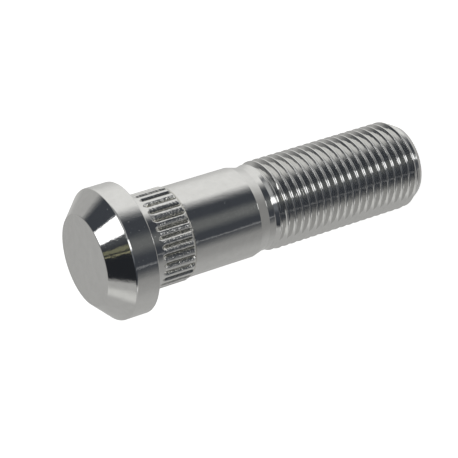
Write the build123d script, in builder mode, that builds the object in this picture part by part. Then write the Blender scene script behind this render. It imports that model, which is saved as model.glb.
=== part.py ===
from build123d import *

import os
from math import radians, tan

# Press-in wheel stud: round chamfered head, knurled seat, plain shank and threaded end.
# It is forged, turned and rolled from one bar, so it is one solid. It stands on its thread end: the
# origin is the centre of that end face, and +Z runs along the axis to the head. The thread is drawn
# at its outer diameter. All sizes are in millimetres and degrees.

os.makedirs("parts", exist_ok=True)

# Head
head_diameter = 22.8
head_height = 7.8
head_face_diameter = 15.8
head_cone_angle = 45.0  # between the cone and the stud's axis
face_edge_chamfer = 0.2
cone_edge_radius = 0.5
seat_edge_chamfer = 0.2
under_head_radius = 0.3

# Knurled seat, pressed into the hub flange
knurl_diameter = 16.5  # over the crests
knurl_length = 8.4  # from the head's seat to the end of the crests
knurl_bevel_length = 0.4  # beyond the crests, down to the shank
collar_diameter = 16.4
flute_count = 32
flute_width = 0.86  # at the crests
flute_depth = 0.42  # below the crests
flute_wall_angle = 40.0  # between a flute's wall and its middle plane
flute_start = 2.55  # from the head's seat to a flute's first point
flute_point_length = 0.7  # of the pointed stretch at each end of a flute

# Plain shank and the neck behind the thread
shank_diameter = 16.0
shank_length = 13.35  # from the end of the crests to the neck's cone
neck_diameter = 14.95
neck_cone_length = 1.95

# Threaded end, M16 x 1.5
thread_diameter = 15.9
thread_length = 32.5  # from the neck to the end face
runout_length = 3.45  # from the neck to the full diameter
end_diameter = 13.2
end_chamfer_length = 2.25

# Stations along the axis, from the end face up to the head's face
neck_z = thread_length
shank_z = neck_z + neck_cone_length
knurl_z = shank_z + shank_length
seat_z = knurl_z + knurl_length
face_z = seat_z + head_height
head_cone_height = (head_diameter - head_face_diameter) / 2 / tan(radians(head_cone_angle))

# The crests run where the flutes have their full width
crest_start = flute_start + flute_point_length

# One flute's cutter: a long hexagon with pointed ends, clear of the crests, whose walls slope in
cutter_clearance = 0.1
cutter_plane = Plane(
    origin=(knurl_diameter / 2 + cutter_clearance, 0, seat_z),
    x_dir=(0, 0, -1),
    z_dir=(1, 0, 0),
)
with BuildPart() as flute:
    with BuildSketch(cutter_plane):
        with BuildLine():
            Polyline(
                (flute_start, 0),
                (crest_start, flute_width / 2),
                (knurl_length, flute_width / 2),
                (knurl_length + flute_point_length, 0),
                (knurl_length, -flute_width / 2),
                (crest_start, -flute_width / 2),
                close=True,
            )
        make_face()
        offset(amount=cutter_clearance * tan(radians(flute_wall_angle)), kind=Kind.INTERSECTION)
    extrude(amount=-(flute_depth + cutter_clearance), taper=flute_wall_angle)

with BuildPart() as wheel_stud:
    # Turned form, as half a section through the axis
    with BuildSketch(Plane.XZ):
        with BuildLine():
            Polyline(
                (0, 0),
                (end_diameter / 2, 0),
                (thread_diameter / 2, end_chamfer_length),
                (thread_diameter / 2, neck_z - runout_length),
                (neck_diameter / 2, neck_z),
                (shank_diameter / 2, shank_z),
                (shank_diameter / 2, knurl_z - knurl_bevel_length),
                (knurl_diameter / 2, knurl_z),
                (knurl_diameter / 2, seat_z - crest_start),
                (collar_diameter / 2, seat_z - crest_start),
                (collar_diameter / 2, seat_z),
                (head_diameter / 2, seat_z),
                (head_diameter / 2, face_z - head_cone_height),
                (head_face_diameter / 2, face_z),
                (0, face_z),
                close=True,
            )
        make_face()
    revolve(axis=Axis.Z)

    # Broken edges of the head, and the fillet under it
    rings = wheel_stud.edges().filter_by(GeomType.CIRCLE).group_by(Axis.Z)
    under_head_edge, *_, seat_edge = rings[-3].sort_by(SortBy.RADIUS)
    chamfer(rings[-1], face_edge_chamfer)
    fillet(rings[-2], cone_edge_radius)
    chamfer(seat_edge, seat_edge_chamfer)
    fillet(under_head_edge, under_head_radius)

    # Knurl
    with PolarLocations(0, flute_count):
        add(flute.part, mode=Mode.SUBTRACT)

wheel_stud.part.label = "wheel_stud"
export_step(wheel_stud.part, "parts/wheel_stud.step")
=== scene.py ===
"""Wheel stud of plated steel, dressed round its CAD frame: rolled thread, knurled seat and finish.

The stud is one closed mesh, drawn as rows of points round its axis. It stands on its thread end at
the origin with +Z towards the head. Sizes are in millimetres until the mesh is made, in metres.
"""

from math import cos, pi, radians, sin, tan
from typing import NamedTuple

import bpy
import numpy as np
from mathutils import Matrix, Vector


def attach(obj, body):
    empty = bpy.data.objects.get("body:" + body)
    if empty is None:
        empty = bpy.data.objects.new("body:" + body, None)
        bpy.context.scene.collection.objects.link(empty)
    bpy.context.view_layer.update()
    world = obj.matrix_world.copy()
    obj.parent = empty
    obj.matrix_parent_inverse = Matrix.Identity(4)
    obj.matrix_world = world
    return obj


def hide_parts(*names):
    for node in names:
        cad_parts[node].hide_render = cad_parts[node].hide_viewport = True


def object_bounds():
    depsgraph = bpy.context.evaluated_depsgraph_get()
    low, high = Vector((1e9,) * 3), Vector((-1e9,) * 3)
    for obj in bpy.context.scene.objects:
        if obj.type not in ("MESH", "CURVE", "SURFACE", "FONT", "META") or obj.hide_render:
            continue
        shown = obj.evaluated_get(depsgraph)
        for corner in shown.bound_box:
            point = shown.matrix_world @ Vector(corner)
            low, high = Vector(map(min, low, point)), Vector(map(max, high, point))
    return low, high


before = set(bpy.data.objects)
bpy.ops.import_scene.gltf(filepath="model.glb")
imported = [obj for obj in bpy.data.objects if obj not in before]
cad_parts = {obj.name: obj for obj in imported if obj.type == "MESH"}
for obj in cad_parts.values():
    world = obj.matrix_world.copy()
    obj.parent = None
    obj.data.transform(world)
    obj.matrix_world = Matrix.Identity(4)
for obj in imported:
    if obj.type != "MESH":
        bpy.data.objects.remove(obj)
cad_low, cad_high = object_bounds()

MM = 0.001
WHITE = (1, 1, 1, 1)

# Head
HEAD_RADIUS = 11.4
HEAD_FACE_RADIUS = 7.9
HEAD_HEIGHT = 7.8
FACE_EDGE_ROUND = 0.25
CONE_EDGE_ROUND = 0.5
SEAT_EDGE_ROUND = 0.2
UNDER_HEAD_ROUND = 0.3

# Knurled seat
KNURL_RADIUS = 8.25
COLLAR_RADIUS = 8.2
COLLAR_STEP_LENGTH = 0.3
KNURL_LENGTH = 8.4
KNURL_BEVEL_LENGTH = 0.4
FLUTE_COUNT = 32
FLUTE_WIDTH = 0.86
FLUTE_DEPTH = 0.42
FLUTE_START = 2.55
FLUTE_POINT_LENGTH = 0.7

# How far the ends of single flutes stray, and the share of their depth that they may lack
FLUTE_SEED = 5
FLUTE_END_STRAY = 0.12
FLUTE_DEPTH_STRAY = 0.12

# Across a flute: place as a share of its half width, share of its depth
FLUTE_FORM = (
    (-1.4, 0.0),
    (-0.98, 0.14),
    (-0.26, 0.96),
    (0.0, 1.0),
    (0.26, 0.96),
    (0.98, 0.14),
    (1.4, 0.0),
)

# Shank and neck
SHANK_RADIUS = 8.0
NECK_RADIUS = 7.475
NECK_CONE_LENGTH = 1.95
NECK_ROUND = 0.3

# Threaded end. The run-out and the plain neck are measured from the neck's cone.
PITCH = 1.5
THREAD_RADIUS = 7.95
THREAD_DEPTH = 0.92
CREST_HALF_WIDTH = 0.09
CREST_ROUND = 0.12
ROOT_HALF_WIDTH = 0.11
ROOT_ROUND = 0.15
THREAD_LENGTH = 32.5
RUNOUT_LENGTH = 3.45
ROOT_RUNOUT_LENGTH = 2.6
PLAIN_NECK_LENGTH = 1.0
END_RADIUS = 6.6
END_CHAMFER_LENGTH = 2.25
END_EDGE_ROUND = 0.15
CREST_HEIGHT_ON_NEAR_LINE = 15.73

# Rows of points: how many round the axis, in a rounding, at a flute's end and along its middle
COLUMNS_PER_FLUTE = len(FLUTE_FORM) + 1
COLUMNS = FLUTE_COUNT * COLUMNS_PER_FLUTE
EVEN_ANGLES = np.arange(COLUMNS) * 2 * pi / COLUMNS
ROUND_STEPS = 4
THREAD_ROUND_STEPS = 2
FLUTE_END_ROWS = 9
FLUTE_MIDDLE_ROWS = 4

# The inner row of a flat end, how far the thread's rows stay from the end face and the neck's cone, their
# turns to spare at each end, and how close the columns gather at a flute's tips, as a share of its width
INNER_ROW_RADIUS = 3.0
THREAD_END_MARGIN = 0.6
THREAD_NECK_MARGIN = 0.3
SPARE_TURNS = 2
NARROWEST_FLUTE = 0.35

# Decimals by which rows and points count as the same
ROW_DECIMALS = 3
POINT_DECIMALS = 5

# Stations along the axis
NECK_Z = THREAD_LENGTH
SHANK_Z = NECK_Z + NECK_CONE_LENGTH
FACE_Z = (cad_high.z - cad_low.z) / MM
SEAT_Z = FACE_Z - HEAD_HEIGHT
KNURL_Z = SEAT_Z - KNURL_LENGTH
FLUTE_HEAD_Z = SEAT_Z - FLUTE_START
FLUTE_SHANK_Z = KNURL_Z - FLUTE_POINT_LENGTH
CREST_END_Z = FLUTE_HEAD_Z - FLUTE_POINT_LENGTH
HEAD_CONE_Z = FACE_Z - (HEAD_RADIUS - HEAD_FACE_RADIUS)
THREAD_LOW_Z = THREAD_END_MARGIN
THREAD_HIGH_Z = NECK_Z - THREAD_NECK_MARGIN

# Camera: its direction from the stud, its roll, and the head's face centre in its own axes
CAMERA_AZIMUTH = 2.725
CAMERA_ELEVATION = 27.09
CAMERA_ROLL = -107.61
FACE_IN_CAMERA = Vector((-23.736, -5.178, -321.87))
LENS = 153.91
SENSOR = 36.0
CLIP_START = 0.01


def camera_turn():
    """The camera's axes as a rotation: right, up and back."""
    turn = Matrix.Rotation(radians(CAMERA_AZIMUTH), 3, "Z")
    tilt = Matrix.Rotation(radians(90 - CAMERA_ELEVATION), 3, "X")
    roll = Matrix.Rotation(radians(CAMERA_ROLL), 3, "Z")
    return turn @ tilt @ roll


def make_camera():
    data = bpy.data.cameras.new("camera")
    data.lens = LENS
    data.sensor_width = SENSOR
    data.clip_start = CLIP_START
    camera = bpy.data.objects.new("camera", data)
    place = (Vector((0, 0, FACE_Z)) - camera_turn() @ FACE_IN_CAMERA) * MM
    camera.matrix_world = Matrix.Translation(place) @ camera_turn().to_4x4()
    bpy.context.scene.collection.objects.link(camera)
    bpy.context.scene.camera = camera


# Mesh

def smooth(t):
    """Eases from 0 to 1."""
    t = np.clip(t, 0, 1)
    return t * t * (3 - 2 * t)


def rounded(corners, steps=ROUND_STEPS):
    """A profile with its corners rounded: (radius, height, rounding) in, (radius, height) out."""
    points = [corners[0][:2]]
    for before, corner, after in zip(corners, corners[1:], corners[2:]):
        here = Vector(corner[:2])
        back = (Vector(before[:2]) - here).normalized()
        ahead = (Vector(after[:2]) - here).normalized()
        turn = pi - back.angle(ahead)
        reach = corner[2] * tan(turn / 2)
        centre = here + (back + ahead).normalized() * corner[2] / cos(turn / 2)
        first = here + back * reach - centre
        last = here + ahead * reach - centre
        for step in range(steps + 1):
            share = step / steps
            spoke = first * sin((1 - share) * turn) + last * sin(share * turn)
            points.append(tuple(centre + spoke / sin(turn)))
    points.append(corners[-1][:2])
    return points


class Grid:
    """Collects points and faces in rows round the axis, from the thread end to the head."""

    def __init__(self):
        self.points = []
        self.count = 0
        self.faces = []
        self.last = None

    def add_points(self, radius, angle, height):
        radius, angle, height = np.broadcast_arrays(radius, angle, height)
        self.points.append(np.column_stack((radius * np.cos(angle), radius * np.sin(angle), height)))
        start = self.count
        self.count += len(radius)
        return np.arange(start, self.count)

    def row(self, radius, height, angle=EVEN_ANGLES):
        """Adds a closed row of points and joins it to the row before."""
        here = self.add_points(radius, angle, height)
        if self.last is None:
            self.cap(height, np.roll(here, -1), here)
        else:
            self.faces += zip(self.last, np.roll(self.last, -1), np.roll(here, -1), here)
        self.last = here

    def cap(self, height, firsts, seconds):
        """Closes a flat end with a point on the axis."""
        centre = self.add_points(np.zeros(1), 0.0, height)[0]
        self.faces += [(centre, first, second) for first, second in zip(firsts, seconds)]


def thread_form():
    """One pitch from root to root: height from the crest's middle, and the share of the depth left there."""
    corners = [
        (THREAD_DEPTH, 0, 0),
        (THREAD_DEPTH, CREST_HALF_WIDTH, CREST_ROUND),
        (0, PITCH / 2 - ROOT_HALF_WIDTH, ROOT_ROUND),
        (0, PITCH / 2, 0),
    ]
    half = [(z, height / THREAD_DEPTH) for height, z in rounded(corners, THREAD_ROUND_STEPS)[1:]]
    return sorted([(-z, share) for z, share in half[:-1]] + half)


def runout_share(z, length):
    """From 1 on the plain neck to 0 where the run-out of that length ends."""
    return np.clip(1 - (NECK_Z - PLAIN_NECK_LENGTH - z) / (length - PLAIN_NECK_LENGTH), 0, 1)


def crest_radius(z):
    return THREAD_RADIUS - (THREAD_RADIUS - NECK_RADIUS) * runout_share(z, RUNOUT_LENGTH) ** 2


def root_radius(z):
    root = THREAD_RADIUS - THREAD_DEPTH
    return root + (NECK_RADIUS - root) * smooth(runout_share(z, ROOT_RUNOUT_LENGTH))


def end_cone_radius(z):
    return END_RADIUS + (THREAD_RADIUS - END_RADIUS) * z / END_CHAMFER_LENGTH


def add_thread(grid):
    """Rows that follow the helix, held between a plain row at each end."""
    form = thread_form()
    near_angle = radians(CAMERA_AZIMUTH - 90)
    phase = CREST_HEIGHT_ON_NEAR_LINE - PITCH * near_angle / (2 * pi)
    first_turn = int((THREAD_LOW_Z - phase) // PITCH) - SPARE_TURNS
    last_turn = int((THREAD_HIGH_Z - phase) // PITCH) + SPARE_TURNS
    rows = []
    for turn in range(first_turn, last_turn + 1):
        for offset, share in form:
            z = phase + turn * PITCH + offset + PITCH * EVEN_ANGLES / (2 * pi)
            z = np.clip(z, THREAD_LOW_Z, THREAD_HIGH_Z)
            radius = root_radius(z) + share * (crest_radius(z) - root_radius(z))
            radius = np.minimum(radius, end_cone_radius(z))
            rows.append(grid.add_points(radius, EVEN_ANGLES, z))
    per_turn = len(form)
    for below, above, seam_below, seam_above in zip(rows, rows[1:], rows[per_turn:], rows[per_turn + 1:]):
        below_next = np.append(below[1:], seam_below[0])
        above_next = np.append(above[1:], seam_above[0])
        grid.faces += zip(below, below_next, above_next, above)


def knurl_outline(z):
    """The turned form that the flutes are cut in."""
    bevel = np.interp(z, (KNURL_Z - KNURL_BEVEL_LENGTH, KNURL_Z), (SHANK_RADIUS, KNURL_RADIUS))
    step = (CREST_END_Z, CREST_END_Z + COLLAR_STEP_LENGTH)
    collar = np.interp(z, step, (KNURL_RADIUS, COLLAR_RADIUS))
    return min(bevel, collar)


def knurl_heights():
    """Heights of the knurl's rows: close together at the flutes' ends and at the bevel."""
    tip = FLUTE_POINT_LENGTH + FLUTE_END_STRAY
    head_shares = np.linspace(0, 1, FLUTE_END_ROWS) ** 2
    heights = [KNURL_Z - KNURL_BEVEL_LENGTH, KNURL_Z, CREST_END_Z, CREST_END_Z + COLLAR_STEP_LENGTH]
    heights += list(np.linspace(FLUTE_SHANK_Z - FLUTE_END_STRAY, KNURL_Z + FLUTE_END_STRAY, FLUTE_END_ROWS))
    heights += list(np.linspace(KNURL_Z + 2 * FLUTE_END_STRAY, FLUTE_HEAD_Z - tip, FLUTE_MIDDLE_ROWS))
    heights += list(FLUTE_HEAD_Z + FLUTE_END_STRAY - (tip + FLUTE_END_STRAY) * head_shares)
    return sorted(set(np.round(heights, ROW_DECIMALS)))


def add_knurl(grid):
    """Rows whose columns gather at the flutes: rounded towards the head, pointed towards the shank."""
    draw = np.random.default_rng(FLUTE_SEED)
    head_ends = FLUTE_HEAD_Z + draw.uniform(-FLUTE_END_STRAY, FLUTE_END_STRAY, FLUTE_COUNT)
    shank_ends = FLUTE_SHANK_Z + draw.uniform(-FLUTE_END_STRAY, FLUTE_END_STRAY, FLUTE_COUNT)
    full_depths = FLUTE_DEPTH * (1 + draw.uniform(-FLUTE_DEPTH_STRAY, 0, FLUTE_COUNT))
    half_pitch = pi / FLUTE_COUNT
    middles = 2 * half_pitch * np.arange(FLUTE_COUNT)
    land_middles = np.full(FLUTE_COUNT, half_pitch)
    places, shares = np.array(FLUTE_FORM).T
    middle_column = len(FLUTE_FORM) // 2
    for z in knurl_heights():
        head_part = np.clip((head_ends - z) / FLUTE_POINT_LENGTH, 0, 1)
        shank_part = np.clip((z - shank_ends) / FLUTE_POINT_LENGTH, 0, 1)
        width = np.minimum(np.sqrt(1 - (1 - head_part) ** 2), shank_part)
        spread = np.maximum(width, NARROWEST_FLUTE) * FLUTE_WIDTH / 2 / KNURL_RADIUS
        angle = middles[:, None] + np.column_stack((np.outer(spread, places), land_middles))
        cut = np.outer(full_depths * width, np.append(shares, 0.0))
        radius = np.minimum(KNURL_RADIUS - cut, knurl_outline(z))
        grid.row(np.roll(radius.ravel(), -middle_column), z, np.roll(angle.ravel(), -middle_column))


def merged(points, faces):
    """Points that share a place become one, and faces that have lost an edge are mended or dropped."""
    kept, index = np.unique(np.round(points, POINT_DECIMALS), axis=0, return_inverse=True)
    index = index.ravel()
    clean = []
    for face in faces:
        corners = []
        for corner in index[list(face)]:
            if corner not in corners:
                corners.append(int(corner))
        if len(corners) > 2:
            clean.append(corners)
    return kept, clean


def keep_flats_flat(mesh):
    """Turns each point's normal to the larger faces beside it, so that only the roundings look bent."""
    count = len(mesh.polygons)
    areas = np.empty(count)
    mesh.polygons.foreach_get("area", areas)
    facing = np.empty(3 * count)
    mesh.polygons.foreach_get("normal", facing)
    sides = np.empty(count, dtype=np.int32)
    mesh.polygons.foreach_get("loop_total", sides)
    corners = np.empty(len(mesh.loops), dtype=np.int32)
    mesh.loops.foreach_get("vertex_index", corners)
    pulls = facing.reshape(-1, 3) * (areas[:, None] / MM**2) ** 2
    normals = np.zeros((len(mesh.vertices), 3))
    np.add.at(normals, corners, np.repeat(pulls, sides, axis=0))
    normals /= np.linalg.norm(normals, axis=1, keepdims=True)
    mesh.normals_split_custom_set_from_vertices(normals)


def make_stud():
    grid = Grid()
    neck_start_radius = float(crest_radius(THREAD_HIGH_Z))
    end = [
        (INNER_ROW_RADIUS, 0, 0),
        (END_RADIUS, 0, END_EDGE_ROUND),
        (end_cone_radius(THREAD_LOW_Z), THREAD_LOW_Z, 0),
    ]
    neck = [
        (neck_start_radius, THREAD_HIGH_Z, 0),
        (NECK_RADIUS, NECK_Z, NECK_ROUND),
        (SHANK_RADIUS, SHANK_Z, NECK_ROUND),
        (SHANK_RADIUS, FLUTE_SHANK_Z - KNURL_BEVEL_LENGTH, 0),
    ]
    head = [
        (COLLAR_RADIUS, FLUTE_HEAD_Z + 2 * FLUTE_END_STRAY, 0),
        (COLLAR_RADIUS, SEAT_Z, UNDER_HEAD_ROUND),
        (HEAD_RADIUS, SEAT_Z, SEAT_EDGE_ROUND),
        (HEAD_RADIUS, HEAD_CONE_Z, CONE_EDGE_ROUND),
        (HEAD_FACE_RADIUS, FACE_Z, FACE_EDGE_ROUND),
        (INNER_ROW_RADIUS, FACE_Z, 0),
    ]
    for radius, z in rounded(end):
        grid.row(radius, z)
    add_thread(grid)
    grid.last = grid.add_points(neck_start_radius, EVEN_ANGLES, THREAD_HIGH_Z)
    for radius, z in rounded(neck)[1:]:
        grid.row(radius, z)
    add_knurl(grid)
    for radius, z in rounded(head):
        grid.row(radius, z)
    grid.cap(FACE_Z, grid.last, np.roll(grid.last, -1))

    points, faces = merged(np.concatenate(grid.points), grid.faces)
    mesh = bpy.data.meshes.new("wheel_stud_dressed")
    mesh.from_pydata(points * MM, [], faces)
    mesh.validate()
    mesh.shade_smooth()
    keep_flats_flat(mesh)
    stud = bpy.data.objects.new("wheel_stud_dressed", mesh)
    bpy.context.scene.collection.objects.link(stud)
    return stud


# Materials and light

class Noise(NamedTuple):
    """Uneven steel: cells to the millimetre along x, y and z, levels of detail, and strength."""
    cells: tuple
    detail: float
    strength: float


class Nodes:
    """Short calls that add and join shader nodes."""

    def __init__(self, tree):
        self.tree = tree
        tree.nodes.clear()

    def add(self, kind, **settings):
        node = self.tree.nodes.new(kind)
        for name, value in settings.items():
            setattr(node, name, value)
        return node

    def feed(self, socket, value):
        if isinstance(value, bpy.types.NodeSocket):
            self.tree.links.new(value, socket)
        else:
            socket.default_value = value

    def math(self, operation, first, second=0.0):
        node = self.add("ShaderNodeMath", operation=operation)
        self.feed(node.inputs[0], first)
        self.feed(node.inputs[1], second)
        return node.outputs[0]

    def product(self, *factors):
        result = factors[0]
        for factor in factors[1:]:
            result = self.math("MULTIPLY", result, factor)
        return result

    def total(self, *terms):
        result = terms[0]
        for term in terms[1:]:
            result = self.math("ADD", result, term)
        return result

    def rest(self, share):
        """What a share leaves of 1."""
        return self.math("SUBTRACT", 1.0, share)

    def eased(self, value, low, high):
        """0 at low, 1 at high, eased between them."""
        node = self.add("ShaderNodeMapRange", interpolation_type="SMOOTHSTEP")
        self.feed(node.inputs["Value"], value)
        node.inputs["From Min"].default_value = low
        node.inputs["From Max"].default_value = high
        return node.outputs["Result"]

    def along(self, vector, axis):
        node = self.add("ShaderNodeVectorMath", operation="DOT_PRODUCT")
        self.feed(node.inputs[0], vector)
        node.inputs[1].default_value = axis
        return node.outputs["Value"]

    def scaled(self, colour, factor):
        node = self.add("ShaderNodeVectorMath", operation="SCALE")
        self.feed(node.inputs[0], colour)
        self.feed(node.inputs["Scale"], factor)
        return node.outputs["Vector"]

    def stretched(self, place, factors):
        node = self.add("ShaderNodeVectorMath", operation="MULTIPLY")
        self.feed(node.inputs[0], place)
        node.inputs[1].default_value = factors
        return node.outputs["Vector"]

    def summed(self, first, second):
        node = self.add("ShaderNodeVectorMath", operation="ADD")
        self.feed(node.inputs[0], first)
        self.feed(node.inputs[1], second)
        return node.outputs["Vector"]

    def noise(self, place, kind):
        """Noise about zero, up to half its strength to either side."""
        node = self.add("ShaderNodeTexNoise")
        self.feed(node.inputs["Vector"], self.stretched(place, kind.cells))
        node.inputs["Scale"].default_value = 1.0
        node.inputs["Detail"].default_value = kind.detail
        return self.product(self.math("SUBTRACT", node.outputs["Fac"], 0.5), kind.strength)


# Steel: its tone, the share by which it varies, and the painted shade that darkens it in the flutes
STEEL_TONE = (0.76, 0.76, 0.75)
PATCHES = Noise((0.9, 0.9, 0.9), 4.0, 0.12)
FLUTE_PAINTED_SHADE = (-0.20, -0.21, -0.25)

# Roughness of the bright surfaces, and what the face, the knurl and smudges add
BRIGHT_ROUGHNESS = 0.07
FACE_ROUGHNESS = 0.16
KNURL_ROUGHNESS = 0.03
SMUDGES = Noise((0.3, 0.3, 0.3), 3.0, 0.12)

# Relief of the plated surface, with heights in millimetres, and how far from the neck's cone the
# rolling marks reach their full height
WAVES = Noise((0.9, 0.9, 0.35), 2.0, 0.012)
GRAIN = Noise((5.0, 5.0, 5.0), 2.0, 0.004)
KNURL_DENTS = Noise((2.4, 2.4, 2.4), 4.0, 0.07)
ROLLING_MARKS = Noise((0.5, 0.5, 6.0), 1.0, 0.012)
ROLLING_START = 1.5

# Pits: cells to the millimetre, the random grey of a cell below which it has a pit, the pit's radius as a
# share of a cell, and its depth in millimetres
PIT_CELLS = 1.7
PIT_GREY = 0.3
PIT_RADIUS = 0.14
PIT_DEPTH = 0.012


def plated_steel():
    material = bpy.data.materials.new("plated_steel")
    material.use_nodes = True
    nodes = Nodes(material.node_tree)
    output = nodes.add("ShaderNodeOutputMaterial")
    shader = nodes.add("ShaderNodeBsdfPrincipled")
    nodes.feed(output.inputs["Surface"], shader.outputs["BSDF"])
    shader.inputs["Metallic"].default_value = 1.0

    # Where on the stud, in millimetres
    place = nodes.scaled(nodes.add("ShaderNodeTexCoord").outputs["Object"], 1 / MM)
    split = nodes.add("ShaderNodeSeparateXYZ")
    nodes.feed(split.inputs["Vector"], place)
    x, y, z = split.outputs
    radius = nodes.math("SQRT", nodes.total(nodes.product(x, x), nodes.product(y, y)))
    on_face = nodes.eased(z, FACE_Z - FACE_EDGE_ROUND / 2, FACE_Z)
    from_shank = nodes.eased(z, FLUTE_SHANK_Z, KNURL_Z - KNURL_BEVEL_LENGTH)
    on_knurl = nodes.product(from_shank, nodes.eased(z, FLUTE_HEAD_Z, CREST_END_Z))
    on_thread = nodes.eased(z, NECK_Z - PLAIN_NECK_LENGTH, NECK_Z - ROLLING_START)

    # Tone: a little uneven, and darkened in the flutes by painted shade
    flute_shade_mask = nodes.product(on_knurl, nodes.eased(radius, KNURL_RADIUS, KNURL_RADIUS - FLUTE_DEPTH))
    bright = nodes.scaled(STEEL_TONE, nodes.total(1.0, nodes.noise(place, PATCHES)))
    nodes.feed(shader.inputs["Base Color"], nodes.summed(bright, nodes.scaled(FLUTE_PAINTED_SHADE, flute_shade_mask)))

    # Roughness
    satin = nodes.total(nodes.product(on_face, FACE_ROUGHNESS), nodes.product(on_knurl, KNURL_ROUGHNESS))
    roughness = nodes.total(BRIGHT_ROUGHNESS, nodes.noise(place, SMUDGES), satin)
    nodes.feed(shader.inputs["Roughness"], roughness)

    # Relief: slow waves, fine grain, dents on the knurl, rolling marks on the thread, and scattered pits
    waves = nodes.noise(place, WAVES)
    grain = nodes.noise(place, GRAIN)
    dents = nodes.product(nodes.noise(place, KNURL_DENTS), on_knurl)
    rolling = nodes.product(nodes.noise(place, ROLLING_MARKS), on_thread)
    cells = nodes.add("ShaderNodeTexVoronoi")
    nodes.feed(cells.inputs["Vector"], place)
    cells.inputs["Scale"].default_value = PIT_CELLS
    chosen = nodes.math("LESS_THAN", cells.outputs["Color"], PIT_GREY)
    pits = nodes.product(chosen, nodes.eased(cells.outputs["Distance"], PIT_RADIUS, 0.0), -PIT_DEPTH)
    bump = nodes.add("ShaderNodeBump")
    bump.inputs["Distance"].default_value = MM
    nodes.feed(bump.inputs["Height"], nodes.total(waves, grain, dents, rolling, pits))
    nodes.feed(shader.inputs["Normal"], bump.outputs["Normal"])
    return material


# Directions in the camera's axes: along the stud to the head, down across it, and the image's way to the head
STUD_WAY = camera_turn().transposed() @ Vector((0, 0, 1))
ACROSS_WAY = Vector((0, 0, 1)).cross(STUD_WAY).normalized()
IMAGE_WAY = ACROSS_WAY.cross(Vector((0, 0, 1)))


class Panel(NamedTuple):
    """A lit card: directions in the camera's axes, half sizes and edge softness as sines of angles."""
    towards: Vector
    length_way: Vector
    half_length: float
    half_width: float
    softness: float
    radiance: tuple


SOFTBOX_WAY = Vector((-0.28, 0.776, -0.565))
SOFTBOX = Panel(Vector((-0.709, 0.254, 0.657)), SOFTBOX_WAY, 0.198, 0.1, 0.02, (2.2, 2.2, 2.2))
SOFTBOX_SPILL = Panel(Vector((-0.82, 0.15, 0.55)), SOFTBOX_WAY, 0.2, 0.09, 0.05, (0.3, 0.3, 0.3))
LENS_CARD = Panel(Vector((0.08, 0.046, 1.0)), IMAGE_WAY, 0.51, 0.13, 0.04, (1.4, 1.4, 1.4))
TAIL_CARD = Panel(Vector((0.885, 0.27, 0.38)), IMAGE_WAY, 0.15, 0.11, 0.03, (1.8, 1.8, 1.8))
LOW_CARD = Panel(Vector((0.35, -0.90, 0.27)), IMAGE_WAY, 0.16, 0.06, 0.03, (0.5, 0.5, 0.5))
LENS_HALO = Panel(Vector((0.04, -0.13, 0.99)), IMAGE_WAY, 0.40, 0.30, 0.12, (0.10, 0.105, 0.11))
UPPER_FILL = Panel(Vector((-0.2, 0.55, 0.81)), Vector((1, 0, 0)), 0.45, 0.4, 0.2, (0.38, 0.38, 0.37))
OLIVE_STRIPE = Panel(Vector((-0.60, -0.19, 0.78)), ACROSS_WAY, 0.045, 0.12, 0.012, (0.16, 0.155, 0.085))
YELLOW_STRIPE = Panel(Vector((-0.565, -0.29, 0.77)), ACROSS_WAY, 0.009, 0.12, 0.006, (0.5, 0.47, 0.27))
DIM_ROOM = Panel(Vector((0.77, 0.21, 0.605)), ACROSS_WAY, 0.20, 0.30, 0.16, (0.095, 0.095, 0.085))
TABLE_EDGE = Panel(Vector((0.84, -0.34, 0.42)), STUD_WAY, 0.45, 0.02, 0.012, (0.17, 0.17, 0.17))
TABLE_SWEEP = Panel(Vector((-0.45, -0.89, 0.05)), Vector((0, 0.05, 1)), 0.14, 0.35, 0.1, (0.22, 0.22, 0.21))
PANELS = (
    SOFTBOX,
    SOFTBOX_SPILL,
    LENS_CARD,
    LENS_HALO,
    UPPER_FILL,
    TAIL_CARD,
    LOW_CARD,
    OLIVE_STRIPE,
    YELLOW_STRIPE,
    DIM_ROOM,
    TABLE_EDGE,
    TABLE_SWEEP,
)

# Cosines of the angle from a panel's middle between which it fades, so that it has no twin opposite it
PANEL_FADE = (0.0, 0.1)

# Tent: its tint and level, and how much brighter or dimmer its parts are. Here and below, a pair says where
# along the camera's axes (x right, y up, z back) a part begins and where it is full.
TENT_TINT = (1.0, 0.995, 0.975)
TENT_LEVEL = 0.45
TOP_GAIN = 0.42
TOP_Y = (0.25, 0.95)
TOP_X_AND_Y = (-0.3, 0.3)
TOP_LOSS_ON_RIGHT = 0.6
SIDE_LOSS = 0.18
RIGHT_X = (0.4, 0.95)
SIDE_Z = (-0.8, -0.1)
LEFT_LOSS = 0.2
LEFT_X = (-0.82, -0.93)
LEFT_Z = (-0.6, -0.3)
REAR_GAIN = 0.12
REAR_Y = (-0.4, 0.2)
REAR_Z = (-0.75, -1.0)

# Opening: its tint, where its edge lies and how wide that is, and how the edge moves in single parts
OPENING_TINT = (0.055, 0.06, 0.07)
OPENING_LEAST_GLOW = 0.35
OPENING_GLOW_X_AND_Y = (-0.95, -0.5)
EDGE_Z = 0.07
EDGE_WIDTH = 0.38
LEFT_EDGE_X = -0.6
LEFT_EDGE_SLOPE = 1.6
LEFT_EDGE_Y = (0.15, 0.45)
TOP_EDGE_SHIFT = 0.08
TOP_EDGE_X = (0.45, 0.05)
TOP_EDGE_Y = (0.5, 0.85)
LOW_EDGE_SHIFT = 0.3
LOW_EDGE_WIDTH = 0.12
LOW_EDGE_X = (0.95, 0.3)
LOW_EDGE_Y = (0.0, -0.5)


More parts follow.
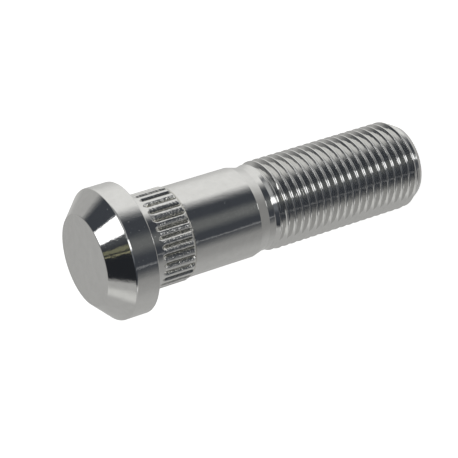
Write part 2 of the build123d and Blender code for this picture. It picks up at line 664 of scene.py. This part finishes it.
def panel_light(nodes, way, panel):
    """A panel's light, by the direction that a ray leaves in."""
    centre = camera_turn() @ panel.towards.normalized()
    length_axis = camera_turn() @ panel.length_way
    length_axis = (length_axis - centre * length_axis.dot(centre)).normalized()
    width_axis = centre.cross(length_axis)
    shape = nodes.eased(nodes.along(way, centre), *PANEL_FADE)
    for axis, half in ((length_axis, panel.half_length), (width_axis, panel.half_width)):
        off = nodes.math("ABSOLUTE", nodes.along(way, axis))
        shape = nodes.product(shape, nodes.eased(off, half + panel.softness, half - panel.softness))
    return nodes.scaled(panel.radiance, shape)


def make_studio():
    """A pale tent round the stud with a dark opening on the camera's side, and panels in and beside it."""
    world = bpy.data.worlds.new("studio")
    bpy.context.scene.world = world
    world.use_nodes = True
    nodes = Nodes(world.node_tree)
    output = nodes.add("ShaderNodeOutputWorld")
    way = nodes.add("ShaderNodeTexCoord").outputs["Generated"]
    x, y, z = (nodes.along(way, axis) for axis in camera_turn().col)
    x_and_y = nodes.total(x, y)

    # Tent: brighter above and behind, dimmer on the right and at the far left
    right = nodes.eased(x, *RIGHT_X)
    top = nodes.product(nodes.eased(y, *TOP_Y), nodes.eased(x_and_y, *TOP_X_AND_Y))
    top = nodes.product(top, nodes.rest(nodes.product(right, TOP_LOSS_ON_RIGHT)))
    side = nodes.product(right, nodes.rest(top), nodes.eased(z, *SIDE_Z))
    rear = nodes.product(nodes.eased(z, *REAR_Z), nodes.eased(y, *REAR_Y))
    left = nodes.product(nodes.eased(x, *LEFT_X), nodes.eased(z, *LEFT_Z))
    gains = (
        nodes.product(top, TOP_GAIN),
        nodes.product(side, -SIDE_LOSS),
        nodes.product(left, -LEFT_LOSS),
        nodes.product(rear, REAR_GAIN),
    )
    wall = nodes.total(TENT_LEVEL, *gains)

    # Opening: its edge lies further back at the upper left, and further forward at the top and the lower left
    past_left = nodes.math("MINIMUM", nodes.math("SUBTRACT", x, LEFT_EDGE_X), 0.0)
    left_shift = nodes.product(past_left, LEFT_EDGE_SLOPE, nodes.eased(y, *LEFT_EDGE_Y))
    top_shift = nodes.product(nodes.eased(y, *TOP_EDGE_Y), nodes.eased(x, *TOP_EDGE_X), TOP_EDGE_SHIFT)
    low_left = nodes.product(nodes.eased(x, *LOW_EDGE_X), nodes.eased(y, *LOW_EDGE_Y))
    low_shift = nodes.product(low_left, LOW_EDGE_SHIFT)
    width = nodes.total(EDGE_WIDTH, nodes.product(low_left, LOW_EDGE_WIDTH - EDGE_WIDTH))
    past_edge = nodes.math("SUBTRACT", z, nodes.total(EDGE_Z, left_shift, low_shift, top_shift))
    opening = nodes.eased(nodes.math("DIVIDE", past_edge, width), 0.0, 1.0)
    wall = nodes.product(wall, nodes.rest(opening))
    glow = nodes.product(nodes.eased(x_and_y, *OPENING_GLOW_X_AND_Y), 1 - OPENING_LEAST_GLOW)
    glow = nodes.product(nodes.total(OPENING_LEAST_GLOW, glow), opening)

    light = nodes.summed(nodes.scaled(TENT_TINT, wall), nodes.scaled(OPENING_TINT, glow))
    for panel in PANELS:
        light = nodes.summed(light, panel_light(nodes, way, panel))

    # The camera itself sees white behind the stud
    seen = nodes.add("ShaderNodeLightPath").outputs["Is Camera Ray"]
    tent = nodes.add("ShaderNodeBackground")
    nodes.feed(tent.inputs["Color"], light)
    backdrop = nodes.add("ShaderNodeBackground")
    backdrop.inputs["Color"].default_value = WHITE
    mix = nodes.add("ShaderNodeMixShader")
    nodes.feed(mix.inputs["Fac"], seen)
    nodes.feed(mix.inputs[1], tent.outputs["Background"])
    nodes.feed(mix.inputs[2], backdrop.outputs["Background"])
    nodes.feed(output.inputs["Surface"], mix.outputs["Shader"])


# Floor, with its half width in metres
FLOOR_HALF_WIDTH = 3.0
FLOOR_TONE = (0.8, 0.8, 0.8, 1)
FLOOR_ROUGHNESS = 0.9
FLOOR_GLOW = 0.85


def make_floor():
    """A pale lit table that the stud stands on."""
    half = FLOOR_HALF_WIDTH
    corners = [(-half, -half, 0), (half, -half, 0), (half, half, 0), (-half, half, 0)]
    mesh = bpy.data.meshes.new("floor")
    mesh.from_pydata(corners, [], [(0, 1, 2, 3)])
    floor = bpy.data.objects.new("floor", mesh)
    bpy.context.scene.collection.objects.link(floor)
    material = bpy.data.materials.new("pale_floor")
    material.use_nodes = True
    nodes = Nodes(material.node_tree)
    output = nodes.add("ShaderNodeOutputMaterial")
    shader = nodes.add("ShaderNodeBsdfPrincipled")
    shader.inputs["Base Color"].default_value = FLOOR_TONE
    shader.inputs["Roughness"].default_value = FLOOR_ROUGHNESS
    shader.inputs["Specular IOR Level"].default_value = 0.0
    shader.inputs["Emission Color"].default_value = WHITE
    shader.inputs["Emission Strength"].default_value = FLOOR_GLOW
    nodes.feed(output.inputs["Surface"], shader.outputs["BSDF"])
    mesh.materials.append(material)
    floor.visible_glossy = False


make_camera()
stud = make_stud()
stud.data.materials.append(plated_steel())
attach(stud, "root")
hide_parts("wheel_stud")
make_studio()
make_floor()
bpy.context.scene.view_settings.view_transform = "Standard"
